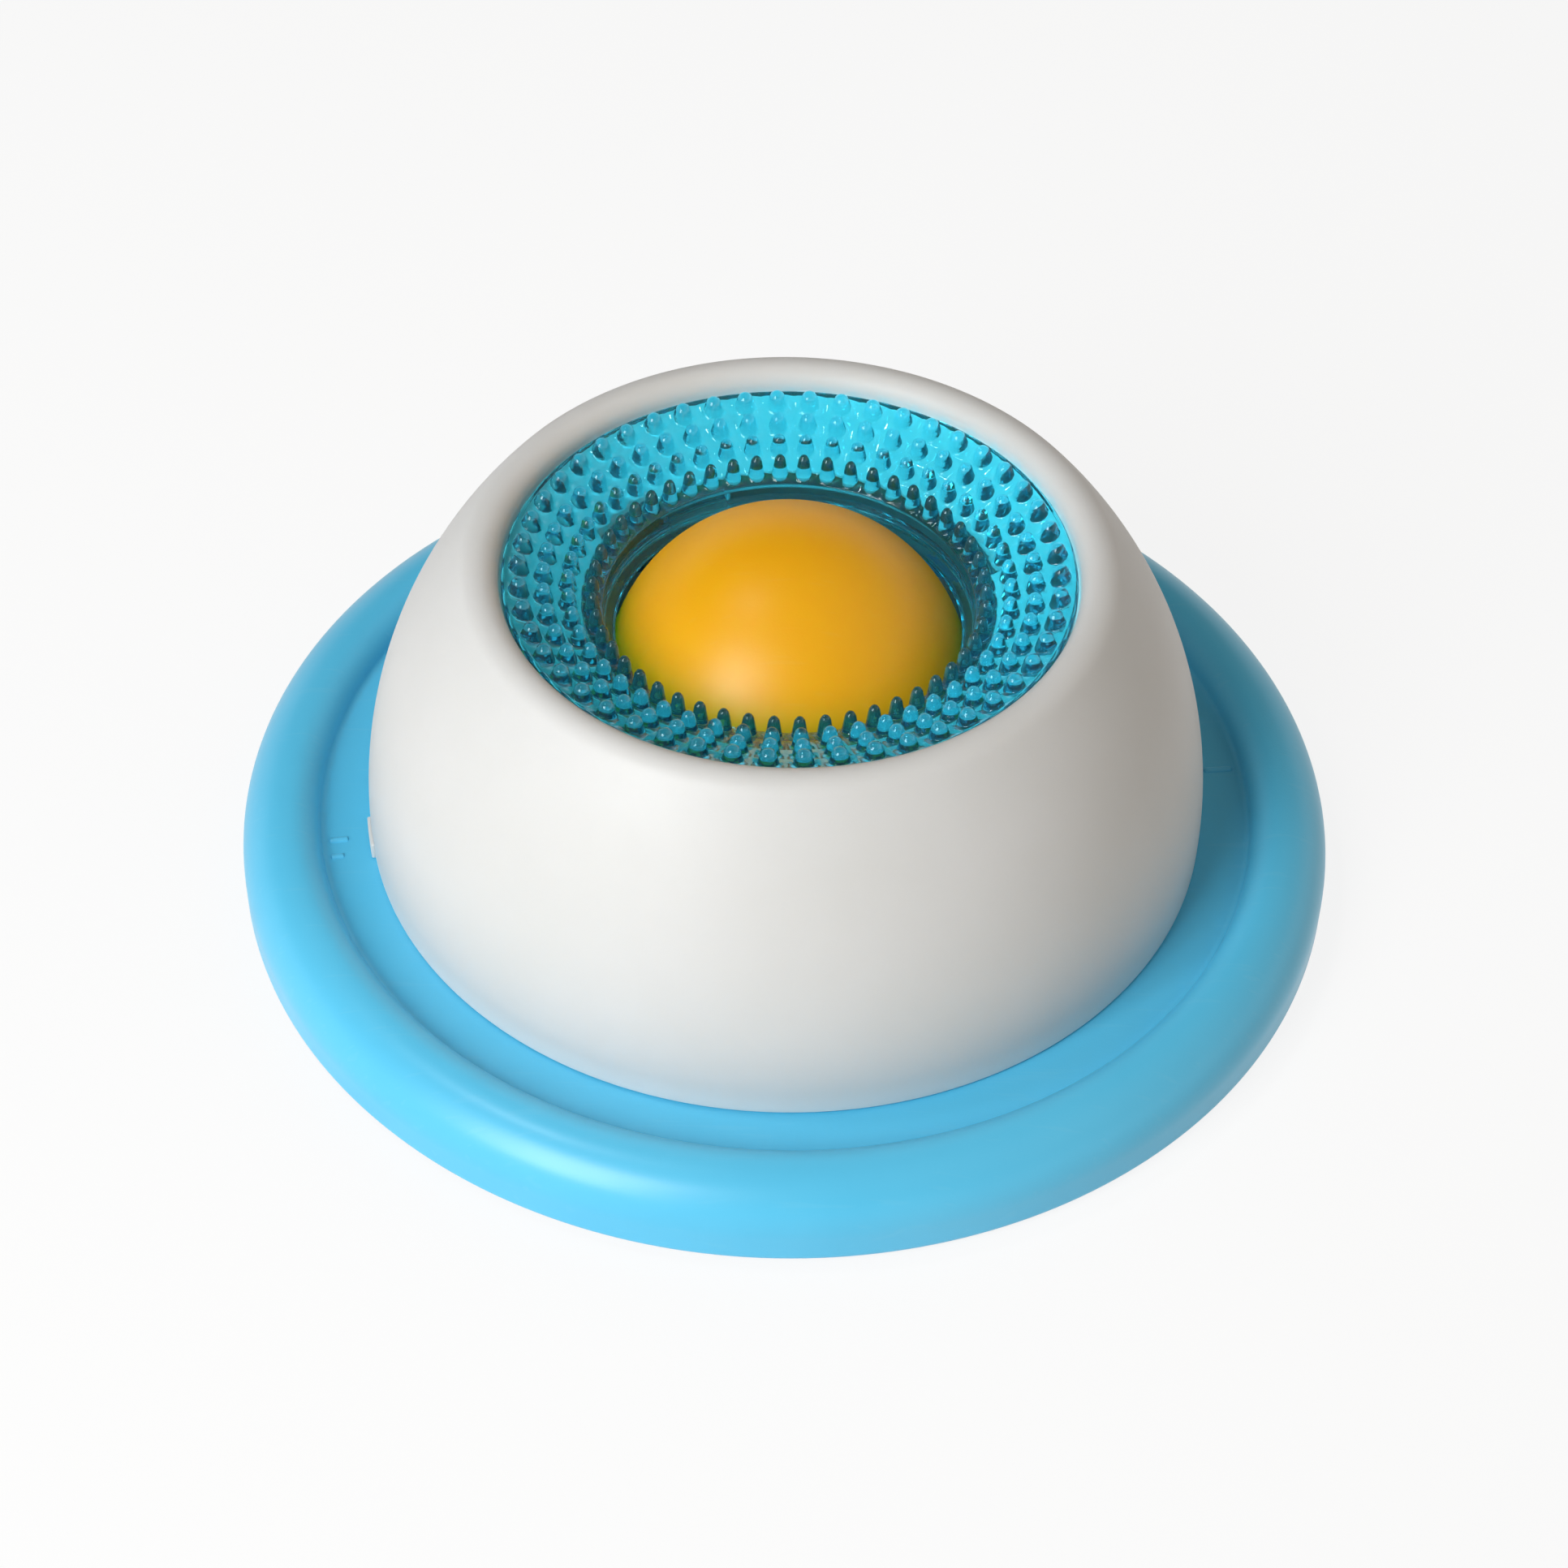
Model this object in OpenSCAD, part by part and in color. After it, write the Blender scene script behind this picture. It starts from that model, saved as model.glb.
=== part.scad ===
// Licking-ball slow feeder: a tray with a food cup, a dome with a nubbed funnel ring, and a ball.
// Millimetres, +Z up, origin on the table under the centre of the tray.

/* [Tray] */
// Outer diameter of the tray
tray_d = 180; // [170:1:220]
// Height of the rim, from its lower edge to its crest
rim_h = 13.4; // [11:0.1:18]
// Depth of the tray floor below the rim's crest
floor_drop = 4.8; // [2.5:0.1:7]
// Radius of the outer side of the rolled rim
rim_outer_r = 8.2; // [4:0.1:10]
// Radius of the inner side of the rolled rim
rim_inner_r = 4.7; // [3:0.1:6]
// Wall of the tray
tray_wall = 2.2; // [1.6:0.1:2.8]
// Fillet where the rim meets the floor
crease_fillet = 1.2; // [0.4:0.1:2]

/* [Index marks] */
// Direction of the left mark and of the dome's tab, seen from above
mark_angle = 189.5; // [0:0.5:360]
// Turn from the left mark to the right mark
mark_turn = 177; // [150:1:210]
// Length of the left tick on the tray floor
tick_l = 3.3; // [2:0.1:5]
// Length of the right tick
tick_long_l = 5.2; // [2:0.1:6]
// Length of the short tick beside the left one
tick_short_l = 2.2; // [1:0.1:3]
// Turn from the left tick to the short one
tick_turn = 2.9; // [2:0.1:6]
// Width of a tick
tick_w = 1.2; // [0.6:0.1:2]
// Height of a tick above the floor
tick_h = 0.4; // [0.2:0.1:1]
// Gap between a tick and the fillet at the rim
tick_gap = 0.2; // [0.1:0.1:1]
// Width of the dome's tab along its foot
tab_w = 8.6; // [4:0.1:14]
// Height of the tab
tab_h = 3; // [1:0.1:6]
// How far the tab stands out
tab_proud = 0.6; // [0.3:0.1:1.2]

/* [Feet] */
// Number of soft pads under the tray
foot_count = 4; // [3:1:8]
// Diameter of a pad
foot_d = 10; // [6:0.5:14]
// Thickness of a pad
foot_h = 2; // [1.4:0.1:3]
// How far a pad stands out of its boss
foot_proud = 0.8; // [0.5:0.1:1.3]
// Wall of the boss around a pad
boss_wall = 1.2; // [0.8:0.1:2]
// Distance of the pads from the centre
foot_r = 70; // [64:0.5:74]

/* [Food cup] */
// Inner diameter of the cup
cup_d = 100; // [80:1:104]
// Height of the cup's edge above the tray floor
cup_rise = 10; // [5:0.5:14]
// Height of the cup's underside above the table
cup_lift = 2.4; // [1:0.1:4]
// Wall of the cup
cup_wall = 2; // [1.4:0.1:2.6]
// Width of the flange that the cup hangs by
cup_flange_w = 5; // [3:0.1:5.5]
// Fillet inside the foot of the cup
cup_fillet = 8; // [3:0.5:10]
// Reach of the cradle ribs under the ball
cradle_r = 16; // [10:0.5:20]
// Width of a cradle rib
cradle_w = 2; // [1.2:0.1:3]
// Number of cradle ribs
cradle_count = 3; // [3:1:6]
// Height of the lowest point of the cradle above the cup floor
cradle_h = 1.1; // [0.5:0.1:2]

/* [Dome] */
// Diameter of the dome at its foot
dome_d = 137.2; // [134:0.2:144]
// Height of the dome
dome_h = 53; // [50:0.5:58]
// Radius of the dome's side in section
dome_arc_r = 77; // [70:0.5:90]
// Height of the dome's widest level above its foot
dome_belly = 3.2; // [0:0.1:8]
// Wall of the dome
dome_wall = 2.2; // [1.6:0.1:2.6]
// Radius of the lip's outer side
lip_outer_r = 4; // [3:0.1:6]
// Radius of the lip's inner side
lip_inner_r = 3; // [2.8:0.1:4]

/* [Lick ring] */
// Depth of the ring's edge below the dome's crest
ring_drop = 2.8; // [2:0.1:4]
// Fall of the funnel from its edge to its hole
funnel_drop = 7.4; // [4:0.1:9]
// Wall of the ring
ring_wall = 2; // [1.4:0.1:2.4]
// Width of the ring's collar round the hole
collar_w = 3.3; // [3.1:0.1:4.5]
// Thickness of the sloped ledge in the dome that the ring sits on
ledge_wall = 2; // [1.4:0.1:2.6]
// How much narrower than the ball the hole is at its upper edge
hole_bite = 0.2; // [0:0.1:1]
// Height of the upright edge round the hole
hole_edge_h = 2; // [1.6:0.1:3]
// Slope of the seat under that edge, which keeps the ball in
seat_slope = 55; // [50:1:65]

/* [Nubs] */
// Nubs in each row
nub_count = 50; // [30:1:54]
// Distance between rows
nub_pitch = 3.8; // [3.4:0.05:6]
// Distance of the first row from the edge of the hole
nub_inset = 1.6; // [1.4:0.1:3]
// Smooth band kept free at the ring's outer edge
nub_margin = 1.3; // [1:0.1:5]
// Height of a nub above the funnel
nub_h = 2.8; // [1.5:0.1:4]
// Diameter of a nub at its root
nub_root_d = 2.8; // [1.8:0.1:2.8]
// Diameter of a nub at its tip
nub_tip_d = 2.2; // [1:0.1:2.4]

/* [Ball] */
// Diameter of the ball
ball_d = 59; // [57:0.5:61]
// Wall of the hollow ball
ball_wall = 2; // [1.6:0.1:3]
// Height of the tongue at the seam between the halves
seam_lap = 3; // [1.5:0.1:4]

/* [Twist locks] */
// Number of hooks and lugs round each lock
lock_count = 3; // [2:1:4]
// Angle of a lug
lock_angle = 20; // [12:1:22]
// Angle that a hook reaches past its lug at each end
lock_slack = 2; // [1:0.5:3]
// Thickness of a hook's or lug's arm
lock_h = 2.6; // [1.8:0.1:3]
// How far hooks and lugs overlap
lock_grip = 2.2; // [1:0.1:2.6]
// Height of the dome's lugs above the foot of the dome
lug_lift = 2.4; // [1:0.1:4]

/* [Clearances] */
// Gap between pieces that turn on each other
turn_gap = 0.3; // [0.2:0.05:0.5]
// Gap between pieces that sit in each other
seat_gap = 0.2; // [0.1:0.05:0.4]
// Gap between the hooks and the dome's wall
hook_gap = 1; // [0.6:0.1:1.6]
// Gap round the ball
ball_gap = 0.5; // [0.3:0.05:0.8]
// Gap between the ball and its cradle
cradle_gap = 0.3; // [0.2:0.05:0.5]
// Gap at the glued seam of the ball
seam_gap = 0.05; // [0.02:0.01:0.1]

/* [Hidden] */
// Fineness of the drawn curves
$fn = 96;
// How far a cut runs past the faces that it opens
cut_over = 1;

// Tray heights and radii
tray_r = tray_d / 2;
crest_z = foot_proud + rim_h;
floor_z = crest_z - floor_drop;
rim_crest_r = tray_r - rim_outer_r;
crease_r = rim_crest_r - rim_inner_r;
edge_r = tray_wall / 2;

// Dome heights and radii
dome_z = floor_z + seat_gap;
dome_crest_z = dome_z + dome_h;
dome_r = dome_d / 2;
belly_z = dome_z + dome_belly;
arc_x = dome_r - sqrt(pow(dome_arc_r, 2) - pow(dome_belly, 2));
lip_angle = asin((dome_crest_z - lip_outer_r - belly_z) / (dome_arc_r - lip_outer_r));
lip_x = arc_x + (dome_arc_r - lip_outer_r) * cos(lip_angle);
lip_z = dome_crest_z - lip_outer_r;
mouth_r = lip_x - lip_inner_r;
mouth_z = dome_crest_z - lip_inner_r;
dome_foot_in_r = arc_x + sqrt(pow(dome_arc_r - dome_wall, 2) - pow(dome_belly, 2));

// Ball and cup
ball_r = ball_d / 2;
cup_floor_z = cup_lift + cup_wall;
ball_z = cup_floor_z + cradle_h + cradle_gap + ball_r;
cup_r = cup_d / 2;
cup_out_r = cup_r + cup_wall;
cup_top_z = floor_z + cup_rise;
cup_flange_r = cup_out_r + cup_flange_w;
tray_hole_r = cup_out_r + seat_gap;

// Ring heights and radii
ring_r = mouth_r - turn_gap;
ring_z = dome_crest_z - ring_drop;
hole_r = ball_r - hole_bite / 2;
hole_z = ring_z - funnel_drop;
seat_z = hole_z - hole_edge_h;
seat_half = hole_r * cos(seat_slope) + (seat_z - ball_z) * sin(seat_slope);
seat_spare = pow(hole_r, 2) + pow(seat_z - ball_z, 2) - pow(ball_r + ball_gap, 2);
seat_l = seat_half - sqrt(pow(seat_half, 2) - seat_spare);
neck_r = hole_r - seat_l * cos(seat_slope);
neck_z = seat_z - seat_l * sin(seat_slope);
funnel_slope = funnel_drop / (ring_r - hole_r);
slope_l = sqrt(1 + pow(funnel_slope, 2));
ring_drop_wall = ring_wall * slope_l;
ledge_drop_wall = ledge_wall * slope_l;
skirt_r = hole_r + collar_w;
skirt_in_r = skirt_r - ring_wall;
ledge_in_r = skirt_r + turn_gap;
ring_lug_r = skirt_r + lock_grip;
ring_lug_top_z = ledge_z(ledge_in_r) - ledge_drop_wall - turn_gap;
ring_lug_z = ring_lug_top_z - lock_h;
skirt_z = ring_lug_z - turn_gap;
nub_rows = 1 + floor((ring_r - nub_margin - nub_root_d / 2 - hole_r - nub_inset) / nub_pitch);

// Twist lock of the dome: its lugs reach in under hooks that stand on the tray
hook_out_r = dome_foot_in_r - hook_gap;
lug_r = hook_out_r - lock_grip;
hook_in_r = lug_r - turn_gap - tray_wall;
lug_z = dome_z + lug_lift;
hook_z = lug_z + lock_h + turn_gap;
hook_top_z = hook_z + lock_h;
hook_angle = lock_angle + 2 * lock_slack;
stop_w = lock_slack / 2;
stop_angle = (hook_angle - lock_slack) / 2;
floor_mid_z = floor_z - tray_wall / 2;

// Height of the funnel's upper face at a radius
function funnel_z(r) = hole_z + (r - hole_r) * funnel_slope;

// Height of the upper face of the ledge under the funnel at a radius
function ledge_z(r) = funnel_z(r) - (ring_wall + seat_gap) * slope_l;

// Ring of rectangular section between two radii and two heights, over part of a turn about zero degrees
module arc_block(inner, outer, low, high, angle) {
    rotate([0, 0, -angle / 2])
        rotate_extrude(angle = angle)
            translate([inner, low])
                square([outer - inner, high - low]);
}

// Upper quarter of a rolled wall in section, on the outer side of its centre or on the inner
module wall_quarter(radius, wall, outer_side) {
    intersection() {
        difference() {
            circle(r = radius);
            circle(r = radius - wall);
        }
        translate([outer_side ? 0 : -radius, 0])
            square([radius, radius]);
    }
}

// Copies its children round the axis, one for each hook or lug
module lock_places() {
    for (i = [0 : lock_count - 1])
        rotate([0, 0, i * 360 / lock_count])
            children();
}

// Place of one pad
module foot_place(i) {
    rotate([0, 0, 360 / foot_count * (i - 0.5)])
        translate([foot_r, 0, 0])
            children();
}

// Tray in section: floor, fillet, rolled rim and outer wall
module tray_section() {
    translate([tray_hole_r, floor_z - tray_wall])
        square([crease_r + tray_wall - tray_hole_r, tray_wall]);
    translate([rim_crest_r, crest_z - rim_inner_r])
        wall_quarter(rim_inner_r, tray_wall, false);
    translate([crease_r, floor_z - tray_wall])
        square([tray_wall, crest_z - rim_inner_r - floor_z + tray_wall]);
    difference() {
        translate([crease_r - crease_fillet, floor_z])
            square([crease_fillet, crease_fillet]);
        translate([crease_r - crease_fillet, floor_z + crease_fillet])
            circle(r = crease_fillet);
    }
    translate([rim_crest_r, crest_z - rim_outer_r])
        wall_quarter(rim_outer_r, tray_wall, true);
    translate([tray_r - tray_wall, foot_proud + edge_r])
        square([tray_wall, crest_z - rim_outer_r - foot_proud - edge_r]);
    translate([tray_r - edge_r, foot_proud + edge_r])
        circle(r = edge_r);
}

// Hook of the dome's lock: an upright wall with an arm at its top and a stop inside one end
module tray_hook() {
    rotate([0, 0, -hook_angle / 2])
        rotate_extrude(angle = hook_angle)
            polygon([
                [hook_in_r, floor_mid_z],
                [hook_in_r + tray_wall, floor_mid_z],
                [hook_in_r + tray_wall, hook_z],
                [hook_out_r, hook_z],
                [hook_out_r, hook_top_z],
                [hook_in_r, hook_top_z]
            ]);
    rotate([0, 0, -stop_angle])
        arc_block(hook_in_r + tray_wall / 2, hook_out_r - turn_gap, floor_mid_z, hook_z + lock_h / 2, stop_w);
}

// Raised tick on the tray floor, beside the foot of the dome
module tray_tick(length) {
    translate([crease_r - crease_fillet - tick_gap - length, -tick_w / 2, floor_mid_z])
        cube([length, tick_w, floor_z - floor_mid_z + tick_h]);
}

module base_tray() {
    color("#5cb8e0") {
        difference() {
            union() {
                rotate_extrude()
                    tray_section();
                for (i = [1 : foot_count])
                    foot_place(i)
                        translate([0, 0, foot_proud])
                            cylinder(d = foot_d + 2 * boss_wall, h = floor_mid_z - foot_proud);
            }
            for (i = [1 : foot_count])
                foot_place(i)
                    cylinder(d = foot_d + 2 * seat_gap, h = foot_h);
        }
        lock_places()
            tray_hook();
        rotate([0, 0, mark_angle])
            tray_tick(tick_l);
        rotate([0, 0, mark_angle + tick_turn])
            tray_tick(tick_short_l);
        rotate([0, 0, mark_angle + mark_turn])
            tray_tick(tick_long_l);
    }
}

module foot_pad(i) {
    color("#3a3f44")
        foot_place(i)
            cylinder(d = foot_d, h = foot_h);
}

// Cup in section: floor, filleted foot, wall and flange
module cup_section() {
    translate([0, cup_lift])
        square([cup_r - cup_fillet, cup_wall]);
    translate([cup_r - cup_fillet, cup_floor_z + cup_fillet])
        intersection() {
            difference() {
                circle(r = cup_fillet + cup_wall);
                circle(r = cup_fillet);
            }
            translate([0, -cup_fillet - cup_wall])
                square([cup_fillet + cup_wall, cup_fillet + cup_wall]);
        }
    translate([cup_r, cup_floor_z + cup_fillet])
        square([cup_wall, cup_top_z - cup_floor_z - cup_fillet]);
    translate([cup_r + cup_wall / 2, floor_z])
        square([cup_flange_w + cup_wall / 2, cup_wall]);
}

module food_cup() {
    color("#eef0f0") {
        rotate_extrude()
            cup_section();
        difference() {
            for (i = [0 : cradle_count - 1])
                rotate([0, 0, i * 360 / cradle_count])
                    translate([0, -cradle_w / 2, cup_floor_z - cup_wall / 2])
                        cube([cradle_r, cradle_w, ball_r]);
            translate([0, 0, ball_z])
                sphere(r = ball_r + cradle_gap);
            translate([0, 0, ball_z])
                cylinder(r = ball_r + cradle_gap, h = ball_r);
        }
    }
}

// Disc under the dome's side in section, to a depth below its outer face, from the foot up to the lip
module side_disc(depth) {
    reach = 2 * dome_arc_r;
    intersection() {
        translate([arc_x, belly_z])
            circle(r = dome_arc_r - depth);
        polygon([
            [arc_x, belly_z],
            [arc_x, dome_z],
            [arc_x + reach, dome_z],
            [arc_x + reach * cos(lip_angle), belly_z + reach * sin(lip_angle)]
        ]);
    }
}

// Lip's outer half disc in section, to a depth below its outer face
module lip_disc(depth) {
    radius = lip_outer_r - depth;
    translate([lip_x, lip_z])
        intersection() {
            circle(r = radius);
            translate([0, -radius])
                square([radius, 2 * radius]);
        }
}

// Dome's side and the outer side of its lip in section
module dome_side() {
    difference() {
        union() {
            side_disc(0);
            lip_disc(0);
        }
        side_disc(dome_wall);
        lip_disc(dome_wall);
    }
}

// Lip's inner side, the mouth's wall and the ledge that carries the ring, in section
module mouth_section() {
    translate([lip_x, mouth_z])
        wall_quarter(lip_inner_r, dome_wall, false);
    wall_low_z = ledge_z(mouth_r) - ledge_drop_wall / 2;
    wall_r = mouth_r + dome_wall;
    translate([mouth_r, wall_low_z])
        square([dome_wall, mouth_z - wall_low_z]);
    polygon([
        [ledge_in_r, ledge_z(ledge_in_r)],
        [wall_r, ledge_z(wall_r)],
        [wall_r, ledge_z(wall_r) - ledge_drop_wall],
        [ledge_in_r, ledge_z(ledge_in_r) - ledge_drop_wall]
    ]);
}

// Dome with its two locks: lugs inside the foot, and notches and stops at the ledge for the ring's lugs
module dome_shell() {
    tab_angle = tab_w / dome_r * 180 / PI;
    notch_r = ring_lug_r + turn_gap;
    color("#ecebea") {
        difference() {
            rotate_extrude() {
                dome_side();
                mouth_section();
            }
            lock_places()
                rotate([0, 0, hook_angle])
                    arc_block(skirt_r - cut_over, notch_r, ring_lug_top_z - cut_over,
                        ledge_z(notch_r) + cut_over, lock_angle + lock_slack);
        }
        lock_places()
            arc_block(lug_r, dome_foot_in_r + dome_wall / 2, lug_z, lug_z + lock_h, lock_angle);
        lock_places()
            rotate([0, 0, -stop_angle])
                arc_block(ledge_in_r + turn_gap, ring_lug_r, ring_lug_z,
                    ledge_z(ledge_in_r) - ledge_drop_wall / 2, stop_w);
        rotate([0, 0, mark_angle])
            arc_block(dome_r - dome_wall / 2, dome_r + tab_proud, dome_z, dome_z + tab_h, tab_angle);
    }
}

// Ring in section: funnel, upright edge, seat for the ball, and the skirt that carries its lugs
module ring_section() {
    tip_r = neck_r + ring_wall * sin(seat_slope);
    tip_z = neck_z - ring_wall * cos(seat_slope);
    polygon([
        [ring_r, ring_z],
        [hole_r, hole_z],
        [hole_r, seat_z],
        [neck_r, neck_z],
        [tip_r, tip_z],
        [skirt_in_r, tip_z + (skirt_in_r - tip_r) * tan(seat_slope)],
        [skirt_in_r, skirt_z],
        [skirt_r, skirt_z],
        [skirt_r, funnel_z(skirt_r) - ring_drop_wall],
        [ring_r, ring_z - ring_drop_wall]
    ]);
}

// One nub: a tapered peg with a round tip, standing upright on the funnel
module nub(r) {
    root = funnel_slope * nub_root_d;
    top = nub_h - nub_tip_d / 2;
    translate([r, 0, funnel_z(r)]) {
        translate([0, 0, -root])
            cylinder(d1 = nub_root_d, d2 = nub_tip_d, h = top + root);
        translate([0, 0, top])
            sphere(d = nub_tip_d);
    }
}

module lick_ring() {
    color("#2fa3bd", 0.7) {
        rotate_extrude()
            ring_section();
        lock_places()
            arc_block(skirt_in_r + ring_wall / 2, ring_lug_r, ring_lug_z, ring_lug_top_z, lock_angle);
        for (row = [0 : nub_rows - 1])
            for (i = [0 : nub_count - 1])
                rotate([0, 0, i * 360 / nub_count])
                    nub(hole_r + nub_inset + row * nub_pitch);
    }
}

// Hollow ball, centred on the origin
module ball_shell() {
    difference() {
        sphere(r = ball_r);
        sphere(r = ball_r - ball_wall);
    }
}

// Block that covers one half of the ball, above its seam or below it
module half_space(upper) {
    translate([-ball_d, -ball_d, upper ? 0 : -2 * ball_d])
        cube([2 * ball_d, 2 * ball_d, 2 * ball_d]);
}

module ball_upper_half() {
    tongue_r = ball_r - ball_wall / 2 - seam_gap;
    color("#efb52e")
        translate([0, 0, ball_z]) {
            intersection() {
                ball_shell();
                half_space(true);
            }
            difference() {
                translate([0, 0, -seam_lap])
                    cylinder(r = tongue_r, h = seam_lap + ball_wall / 2);
                translate([0, 0, -seam_lap - cut_over])
                    cylinder(r = ball_r - ball_wall, h = seam_lap + ball_wall + 2 * cut_over);
            }
        }
}

module ball_lower_half() {
    color("#efb52e")
        translate([0, 0, ball_z])
            difference() {
                intersection() {
                    ball_shell();
                    half_space(false);
                }
                translate([0, 0, -seam_lap - seam_gap])
                    cylinder(r = ball_r - ball_wall / 2, h = seam_lap + seam_gap + cut_over);
            }
}

base_tray();
food_cup();
dome_shell();
lick_ring();
ball_upper_half();
ball_lower_half();
for (i = [1 : foot_count])
    foot_pad(i);
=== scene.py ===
import math
import bmesh
import bpy
import numpy as np
from mathutils import Matrix, Vector


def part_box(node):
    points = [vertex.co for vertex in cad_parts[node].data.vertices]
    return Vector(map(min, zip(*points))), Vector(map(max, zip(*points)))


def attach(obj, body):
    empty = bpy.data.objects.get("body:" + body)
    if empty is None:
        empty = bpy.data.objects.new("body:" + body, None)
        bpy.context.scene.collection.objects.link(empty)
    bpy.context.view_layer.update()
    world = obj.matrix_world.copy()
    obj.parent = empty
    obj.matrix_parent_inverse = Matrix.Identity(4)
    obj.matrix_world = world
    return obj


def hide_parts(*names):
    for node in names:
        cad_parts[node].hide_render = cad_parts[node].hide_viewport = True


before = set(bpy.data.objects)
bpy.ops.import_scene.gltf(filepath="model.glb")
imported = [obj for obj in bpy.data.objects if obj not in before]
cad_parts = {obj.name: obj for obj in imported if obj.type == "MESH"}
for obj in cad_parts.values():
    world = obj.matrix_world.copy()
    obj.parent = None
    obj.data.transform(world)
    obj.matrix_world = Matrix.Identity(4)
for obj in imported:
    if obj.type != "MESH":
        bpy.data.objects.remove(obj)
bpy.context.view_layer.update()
print("frame loaded:", len(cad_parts), "solids")

# distances under which two points are one
sameSpot = {"section": 1e-8, "mesh": 1e-7}


# Sections, in metres, as (radius, height) points

# arc: centre plus radius times the cosine and sine of a turn in degrees
def arc(centre, radius, start, end, steps):
    turn = np.radians(np.linspace(start, end, steps + 1))
    return np.column_stack([centre[0] + radius * np.cos(turn), centre[1] + radius * np.sin(turn)])


# straight run: points crowd towards both ends by a cosine, so flats shade flat up to their fillets
def run(start, end, steps=8):
    share = (1 - np.cos(np.pi * np.linspace(0, 1, steps + 1))) / 2
    return np.asarray(start) + np.outer(share, np.subtract(end, start))


# rounded corner: circle that touches both runs, swept from one touching point to the other
def corner(before, at, after, radius, steps=5):
    at = np.asarray(at, float)
    back = np.subtract(before, at) / np.linalg.norm(np.subtract(before, at))
    ahead = np.subtract(after, at) / np.linalg.norm(np.subtract(after, at))
    half = math.acos(float(np.clip(back @ ahead, -1, 1))) / 2
    middle = (back + ahead) / np.linalg.norm(back + ahead)
    centre = at + middle * radius / math.sin(half)
    first = at + back * radius / math.tan(half) - centre
    last = at + ahead * radius / math.tan(half) - centre
    sweep = math.pi - 2 * half
    share = np.linspace(0, 1, steps + 1)[:, None]
    return centre + (np.sin((1 - share) * sweep) * first + np.sin(share * sweep) * last) / math.sin(sweep)


# outline: corners joined by straight runs, each corner rounded by its own radius, open or closed
def outline(corners, radii, closed=True, steps=8):
    count = len(corners)
    bends = []
    for i, (point, radius) in enumerate(zip(corners, radii)):
        if radius == 0 or (not closed and i in (0, count - 1)):
            bends.append(np.array([point], float))
        else:
            bends.append(corner(corners[i - 1], point, corners[(i + 1) % count], radius))
    parts = []
    for i, bend in enumerate(bends):
        parts.append(bend)
        if closed or i < count - 1:
            parts.append(run(bend[-1], bends[(i + 1) % count][0], steps))
    return joined(*parts)


# pieces of a section end to end, with doubled points dropped
def joined(*parts):
    points = np.concatenate(parts)
    keep = np.linalg.norm(np.diff(points, axis=0), axis=1) > sameSpot["section"]
    return points[np.concatenate([[True], keep])]


# Surfaces

# even turns round the axis
def evenTurns(count):
    return np.arange(count) * 2 * np.pi / count


# four-sided faces of a grid of points, joined round its columns, and round its rows too where it is closed
def gridFaces(rows, cols, closed=False):
    i, j = np.meshgrid(np.arange(rows if closed else rows - 1), np.arange(cols), indexing="ij")
    down, right = (i + 1) % rows, (j + 1) % cols
    faces = np.stack([i * cols + j, i * cols + right, down * cols + right, down * cols + j], axis=-1)
    return faces.reshape(-1, 4)


# a grid of points turned about the upright axis
def spun(x, y, z, turn):
    spin = math.radians(turn)
    points = [x * math.cos(spin) - y * math.sin(spin), x * math.sin(spin) + y * math.cos(spin), z]
    return np.stack(points, axis=-1).reshape(-1, 3)


# surface of revolution: x = r cos(turn), y = r sin(turn), z = height, over section and turn;
# shape, where given, bends r and z by turn
def revolve(path, turns, closed=True, centre=(0, 0), shape=None):
    radius, turn = np.meshgrid(path[:, 0], turns, indexing="ij")
    height = np.repeat(path[:, 1:2], len(turns), axis=1)
    if shape:
        radius, height = shape(radius, height, turn)
    points = np.stack([centre[0] + radius * np.cos(turn), centre[1] + radius * np.sin(turn), height], axis=-1)
    return points.reshape(-1, 3), gridFaces(len(path), len(turns), closed)


# section carried along part of a turn, with its ends drawn in to a rounded edge and closed by its middle line
def arcBlock(low, high, middleTurn, angle, edge, steps=10):
    (innerR, lowZ), (outerR, highZ) = low, high
    path = outline([(innerR, lowZ), (outerR, lowZ), (outerR, highZ), (innerR, highZ)], [edge] * 4, True, 3)
    centre = np.array([(innerR + outerR) / 2, (lowZ + highZ) / 2])
    half = np.array([outerR - innerR, highZ - lowZ]) / 2
    bend = edge / outerR
    rim = np.radians(np.linspace(0, 90, 4))
    turn = math.radians(angle) / 2
    start = -turn + bend * (1 - np.cos(rim))
    stations = np.concatenate([[-turn], start, np.linspace(-turn + bend, turn - bend, steps)[1:-1],
                               -start[::-1], [turn]])
    inset = np.concatenate([[1], 1 - np.sin(rim), np.zeros(steps - 2), (1 - np.sin(rim))[::-1], [1]])
    closing = np.ones(len(stations))
    closing[[0, -1]] = 0
    scale = np.maximum(1 - edge * inset[:, None] / half, 0) * closing[:, None]
    local = centre + (path[None] - centre) * scale[:, None, :]
    turns = math.radians(middleTurn) + stations[:, None]
    points = np.stack([local[..., 0] * np.cos(turns), local[..., 0] * np.sin(turns), local[..., 1]], axis=-1)
    return points.reshape(-1, 3), gridFaces(len(stations), len(path))


# several surfaces as one, each with its own run of points
def together(surfaces):
    starts = np.cumsum([0] + [len(points) for points, _ in surfaces[:-1]])
    return (np.concatenate([points for points, _ in surfaces]),
            np.concatenate([faces + start for (_, faces), start in zip(surfaces, starts)]))


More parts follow.
